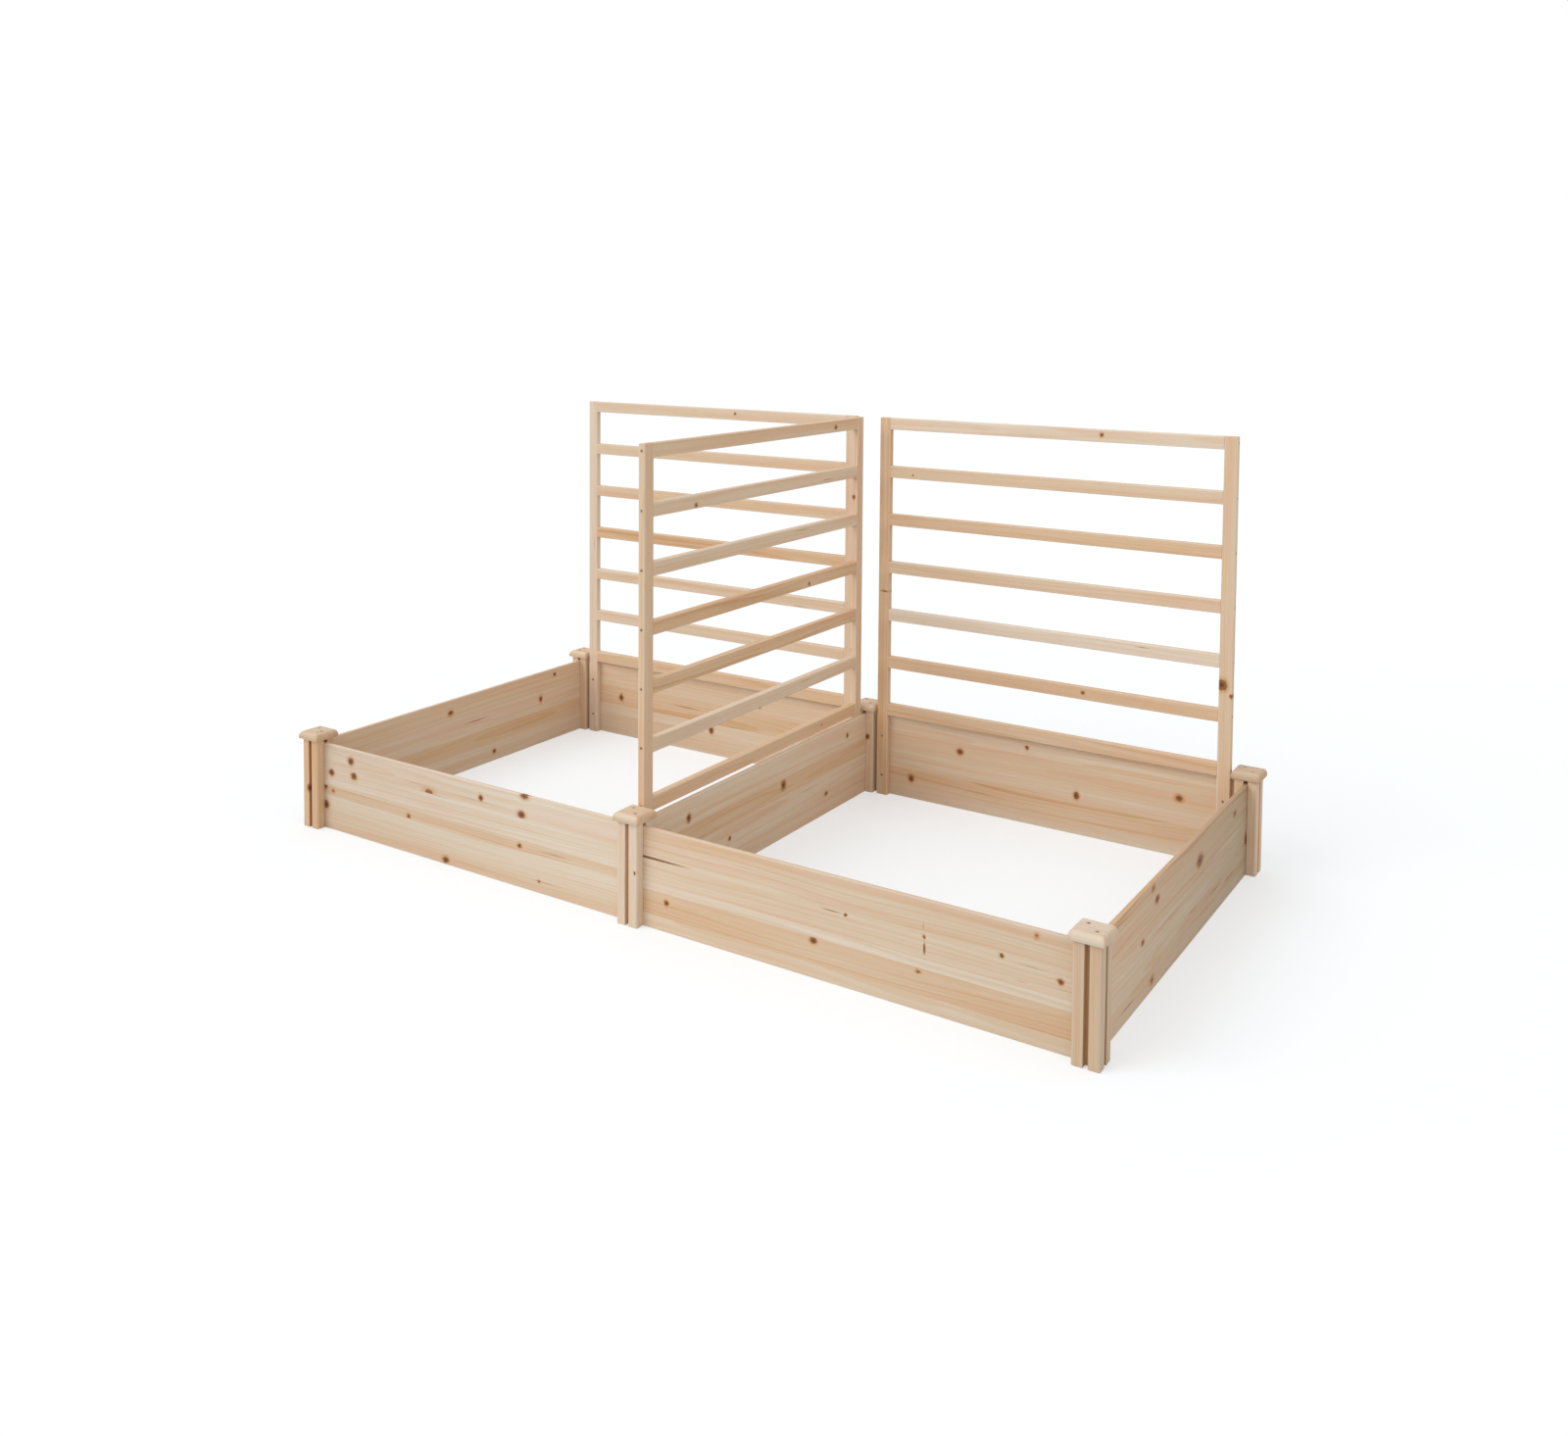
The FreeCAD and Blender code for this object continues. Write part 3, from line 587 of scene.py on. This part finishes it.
# Below its rim the sides go straight down, and a small round draws them in at the foot
rim = cap_grid[edge_loop(grid_index)]
foot_shares = np.array([0.0, 0.3, 1.0])
lower = np.stack([rim] * len(foot_shares))
lower[:, :, :2] -= (cap_foot * (1 - foot_shares) ** 2)[:, None, None] * np.sign(rim[:, :2])
lower[:, :, 2] = (cap_foot * foot_shares ** 2)[:, None]
lower_index = len(cap_grid) + np.arange(lower[..., 0].size).reshape(lower.shape[:2])
cap_points = np.concatenate([cap_grid, lower.reshape(-1, 3)])
side_quads, side_ends = stacked_faces(np.concatenate([lower_index, edge_loop(grid_index)[None]]))
cap_faces = [*grid_faces(grid_index), *side_quads, side_ends[0]]
cap_corner = np.concatenate(cap_faces)
cap_end_grain = fade(np.abs(cap_points[:, 0]), flat, cap_half)
cap_wear = np.append(4 * cap_wear_peak * fall * (1 - fall), np.zeros(lower[..., 0].size))
cap_knots = [(np.array([0.018, 0.02, 0.0]), (0.012, 0.011, 0), 0.9),
             (np.array([cap_spacing * 3 - 0.012, -0.012, 0.0]), (0.016, 0.014, 0), 0.9)]
cap_fir = fir("planed_fir_caps", cap_knots)
for number, name in enumerate(cap_names):
    low, high = (np.array(corner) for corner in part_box(name))
    offset = np.array([cap_spacing * number, draw.uniform(-cap_pith_aside, cap_pith_aside),
                       draw.uniform(*cap_pith_depths)])
    corners = {"grain": (cap_points + offset)[cap_corner],
               "tone": (cap_tones[number] + cap_end_depth * cap_end_grain)[cap_corner],
               "painted_shade": np.full(len(cap_corner), cap_painted_shades[number]),
               "wear_and_shade": cap_wear[cap_corner]}
    seat = np.array([(low[0] + high[0]) / 2, (low[1] + high[1]) / 2, low[2]])
    put_piece(name, cap_points + seat, cap_faces, corners, cap_fir)


# Screws: countersunk steel wood screws with a cross recess, given a thin brown coating against rust.
# They hold the caps to the posts, the rungs between the stiles and the stiles' legs to the boards.
def screw(length, recess_depth):
    """A screw along -Z with the top of its head at zero. The head is a square grid bent to a disc by the
    square-to-disc rule, pressed down along two crossing arms; below its rim a stack of rings makes the
    cone, shank and point. Gives its points, its faces and the share of the recess's depth at each point."""
    head_radius, shank_radius, point_radius = 0.004, 0.002, 0.0005
    tip_length = 0.004
    arm_half_share, arm_length_share, slope_share = 0.13, 0.52, 0.1
    share = np.array([0, 0.11, 0.23, 0.4, 0.6, 0.8, 1.0])
    lines = np.concatenate([-share[:0:-1], share])
    square = np.stack(np.meshgrid(lines, lines, indexing="ij"), axis=-1)
    disc = square * np.sqrt(1 - square[..., ::-1] ** 2 / 2)
    nearest_arm = np.abs(disc).min(axis=-1)
    out = np.linalg.norm(disc, axis=-1)
    pressed = (1 - fade(nearest_arm, arm_half_share, arm_half_share + slope_share)) * (
        1 - fade(out, arm_length_share, arm_length_share + slope_share))
    head = np.concatenate([head_radius * disc, -recess_depth * pressed[..., None]], axis=-1).reshape(-1, 3)
    index = np.arange(len(head)).reshape(square.shape[:2])
    rim = edge_loop(index)
    radii = np.array([point_radius, shank_radius, shank_radius])
    levels = np.array([-length, tip_length - length, shank_radius - head_radius])
    rings = np.concatenate([disc.reshape(-1, 2)[rim] * radii[:, None, None],
                            np.broadcast_to(levels[:, None, None], (len(levels), len(rim), 1))], axis=-1)
    ring_index = len(head) + np.arange(rings[..., 0].size).reshape(rings.shape[:2])
    quads, ends = stacked_faces(np.concatenate([ring_index, rim[None]]))
    points = np.concatenate([head, rings.reshape(-1, 3)])
    faces = [*grid_faces(index), *quads, ends[0]]
    return points, faces, np.append(pressed, np.zeros(rings[..., 0].size))


def put_screws(node, heads, outwards, length, recess_depth, material):
    """Copies of one screw, each turned so that its head faces its outward direction, as one piece."""
    points, faces, pressed = screw(length, recess_depth)
    outwards = np.array(outwards, float)
    sideways = np.cross(outwards, np.where(np.abs(outwards[:, 2:]) > 0.5, [[1, 0, 0]], [[0, 0, 1]]))
    turns = np.stack([sideways, np.cross(outwards, sideways), outwards], axis=1)
    placed = np.einsum("pi,kij->kpj", points, turns) + np.array(heads)[:, None]
    shifted = [face + len(points) * copy for copy in range(len(heads)) for face in faces]
    corner = np.concatenate(faces)
    corners = {"tone": np.repeat(draw.uniform(0, 1, len(heads)), len(corner)),
               "recess": np.tile(pressed[corner], len(heads))}
    put_piece(node, placed.reshape(-1, 3), shifted, corners, material)


def coated_steel():
    """Steel with a thin phosphate coat: dull metal, from grey to rusty brown by the screw's tone, rubbed
    brighter in spots, and dark in the recess with dust and painted shade."""
    patch_size = 0.0022
    noise_low, noise_high = 0.3, 0.7
    dull_rough, rubbed_rough = 0.55, 0.35
    relief_depth, relief_strength = 0.0001, 0.2
    material = bpy.data.materials.new("phosphate_coated_steel")
    material.use_nodes = True
    tree = material.node_tree
    shader = tree.nodes["Principled BSDF"]
    place = add_node(tree, "ShaderNodeTexCoord", {}).outputs["Object"]
    patch = add_node(tree, "ShaderNodeTexNoise", {
        "Vector": place, "Scale": 1 / patch_size, "Detail": 3.0}).outputs[0]
    tone = add_node(tree, "ShaderNodeAttribute", {}, attribute_name="tone").outputs["Fac"]
    recess = add_node(tree, "ShaderNodeAttribute", {}, attribute_name="recess").outputs["Fac"]
    grey_coat = add_node(tree, "ShaderNodeValToRGB", {"Fac": patch}, [
        (0.35, "#8E8780"), (0.55, "#B4ADA6"), (0.75, "#D6D1CB")]).outputs["Color"]
    brown_coat = add_node(tree, "ShaderNodeValToRGB", {"Fac": patch}, [
        (0.35, "#9A6446"), (0.55, "#BC8766"), (0.75, "#D4B29A")]).outputs["Color"]
    coat = add_node(tree, "ShaderNodeMix", {
        0: tone, 6: grey_coat, 7: brown_coat}, data_type="RGBA").outputs[2]
    # Painted shade and dust: the recess is painted dark brown, the more the deeper it is pressed in
    dust_and_shade = add_node(tree, "ShaderNodeMix", {
        0: recess, 6: coat, 7: linear("#4A4039")}, data_type="RGBA").outputs[2]
    tree.links.new(dust_and_shade, shader.inputs["Base Color"])
    rough = add_node(tree, "ShaderNodeMapRange", {
        "Value": patch, 1: noise_low, 2: noise_high, 3: dull_rough, 4: rubbed_rough}).outputs[0]
    tree.links.new(rough, shader.inputs["Roughness"])
    bump = add_node(tree, "ShaderNodeBump", {
        "Strength": relief_strength, "Distance": relief_depth, "Height": patch}).outputs[0]
    tree.links.new(bump, shader.inputs["Normal"])
    shader.inputs["Metallic"].default_value = 0.85
    return material


screw_coat = coated_steel()
head_sink = 0.0006
head_proud = 0.0002
# The shallow recesses look deep through the painted shade in them
deep_recess, shallow_recess = 0.0011, 0.00015
cap_screw_length, rung_screw_length, leg_screw_length = 0.050, 0.060, 0.027
leg_screw_height_shares = (0.25, 0.75)
rung_count = 6
cap_heads = []
for name in cap_names:
    low, high = (np.array(corner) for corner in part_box(name))
    x, y = (low + high)[:2] / 2
    for sense in (-1, 1):
        cap_heads.append([x + sense * screw_offset, y - sense * screw_offset, high[2] - head_sink])
put_screws("cap_screws", cap_heads, [[0, 0, 1]] * len(cap_heads), cap_screw_length - head_sink,
           deep_recess, screw_coat)
board_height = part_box("board_divider")[1][2]
for panel, stiles in (("trellis_back_left", ("left_stile", "right_stile")),
                      ("trellis_back_right", ("left_stile", "right_stile")),
                      ("trellis_middle", ("front_stile", "back_stile"))):
    run = 1 if panel == "trellis_middle" else 0
    rung_heads, rung_outwards, leg_heads, leg_outwards = [], [], [], []
    for sense, stile in zip((-1, 1), stiles):
        low, high = (np.array(corner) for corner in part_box(f"{panel}_{stile}"))
        outward = np.zeros(3)
        outward[run] = sense
        for cross in ["top_rail"] + [f"rung_{step}" for step in range(1, rung_count + 1)]:
            cross_low, cross_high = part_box(f"{panel}_{cross}")
            head = (low + high) / 2
            head[run] = low[run] if sense < 0 else high[run]
            head[2] = (cross_low[2] + cross_high[2]) / 2
            rung_heads.append(head + head_proud * outward)
            rung_outwards.append(outward)
        inward = np.zeros(3)
        inward[1 - run] = -1
        for share in leg_screw_height_shares:
            head = (low + high) / 2
            head[1 - run] = low[1 - run]
            head[2] = share * board_height
            leg_heads.append(head + head_proud * inward)
            leg_outwards.append(inward)
    put_screws(f"{panel}_rung_screws", rung_heads, rung_outwards, rung_screw_length,
               shallow_recess, screw_coat)
    put_screws(f"{panel}_leg_screws", leg_heads, leg_outwards, leg_screw_length,
               shallow_recess, screw_coat)


# Floor: a plain pale studio floor, painted matt. It is lit like the object, and what the camera sees of it
# is topped up to white, so that it keeps the object's soft shadow.
def seen_share(tree):
    """1 for rays that show a surface, from the camera, mirrored or through glass; 0 for rays of light."""
    ray = add_node(tree, "ShaderNodeLightPath", {})
    share = ray.outputs["Is Camera Ray"]
    for other in ("Is Glossy Ray", "Is Transmission Ray"):
        share = add_node(tree, "ShaderNodeMath", {
            0: share, 1: ray.outputs[other]}, operation="MAXIMUM").outputs[0]
    return share


floor_half = 60.0
floor_top_up = 0.465
floor_mesh = bpy.data.meshes.new("floor")
floor_mesh.from_pydata([(-floor_half, -floor_half, 0), (floor_half, -floor_half, 0),
                        (floor_half, floor_half, 0), (-floor_half, floor_half, 0)], [], [(0, 1, 2, 3)])
floor = bpy.data.objects.new("floor", floor_mesh)
bpy.context.scene.collection.objects.link(floor)
floor_paint = bpy.data.materials.new("matt_white_paint")
floor_paint.use_nodes = True
tree = floor_paint.node_tree
floor_shader = tree.nodes["Principled BSDF"]
floor_shader.inputs["Base Color"].default_value = linear("#C6CACD")
floor_shader.inputs["Roughness"].default_value = 0.9
floor_shader.inputs["Specular IOR Level"].default_value = 0.0
floor_shader.inputs["Emission Color"].default_value = linear("#FFFFFF")
top_up = add_node(tree, "ShaderNodeMath", {
    0: seen_share(tree), 1: floor_top_up}, operation="MULTIPLY").outputs[0]
tree.links.new(top_up, floor_shader.inputs["Emission Strength"])
floor_mesh.materials.append(floor_paint)

# Light: an even white room, one broad soft lamp from the front left and a weak one from the right.
# The room lights the object at its own level and shows as plain white.
room_level = 0.70
world = bpy.data.worlds.new("white_room")
bpy.context.scene.world = world
world.use_nodes = True
tree = world.node_tree
room = tree.nodes["Background"]
room.inputs["Color"].default_value = linear("#FFFFFF")
brightness = add_node(tree, "ShaderNodeMapRange", {"Value": seen_share(tree), 3: room_level}).outputs[0]
tree.links.new(brightness, room.inputs["Strength"])
for name, level, spread, towards_lamp in (("key_lamp", 1.2, 45, [-0.50, -0.66, 0.54]),
                                          ("fill_lamp", 0.3, 70, [0.75, -0.40, 0.45])):
    lamp = bpy.data.lights.new(name, "SUN")
    lamp.energy = level
    lamp.angle = np.radians(spread)
    holder = bpy.data.objects.new(name, lamp)
    bpy.context.scene.collection.objects.link(holder)
    towards_lamp = np.array(towards_lamp) / np.linalg.norm(towards_lamp)
    sideways = np.cross([0, 0, 1], towards_lamp)
    sideways /= np.linalg.norm(sideways)
    holder.matrix_world = Matrix(
        np.stack([sideways, np.cross(towards_lamp, sideways), towards_lamp], axis=1)).to_4x4()

# Camera: stands in front of the right end, a little above the trellis, and looks nearly level.
# The frame is shifted down to the object, as in the photo.
photo_width, photo_height = 1600, 1465
focal_pixels = 1444.6
centre_pixels = (792.4, 388.9)
turn, tilt, roll = np.radians([33.05, 2.984, -0.405])
stand = np.array([2.089, -3.173, 1.472])
backward = np.array([np.sin(turn) * np.cos(tilt), -np.cos(turn) * np.cos(tilt), np.sin(tilt)])
right = np.cross([0, 0, 1], backward)
right /= np.linalg.norm(right)
up = np.cross(backward, right)
rolled_right = np.cos(roll) * right - np.sin(roll) * up
rolled_up = np.sin(roll) * right + np.cos(roll) * up
view = bpy.data.cameras.new("camera")
view.sensor_width = 36
view.lens = focal_pixels * view.sensor_width / photo_width
view.shift_x = 0.5 - centre_pixels[0] / photo_width
view.shift_y = (centre_pixels[1] - photo_height / 2) / photo_width
view.clip_end = 200
camera = bpy.data.objects.new("camera", view)
bpy.context.scene.collection.objects.link(camera)
camera.matrix_world = Matrix.Translation(stand) @ Matrix(
    np.stack([rolled_right, rolled_up, backward], axis=1)).to_4x4()
bpy.context.scene.camera = camera
bpy.context.scene.view_settings.view_transform = "Standard"
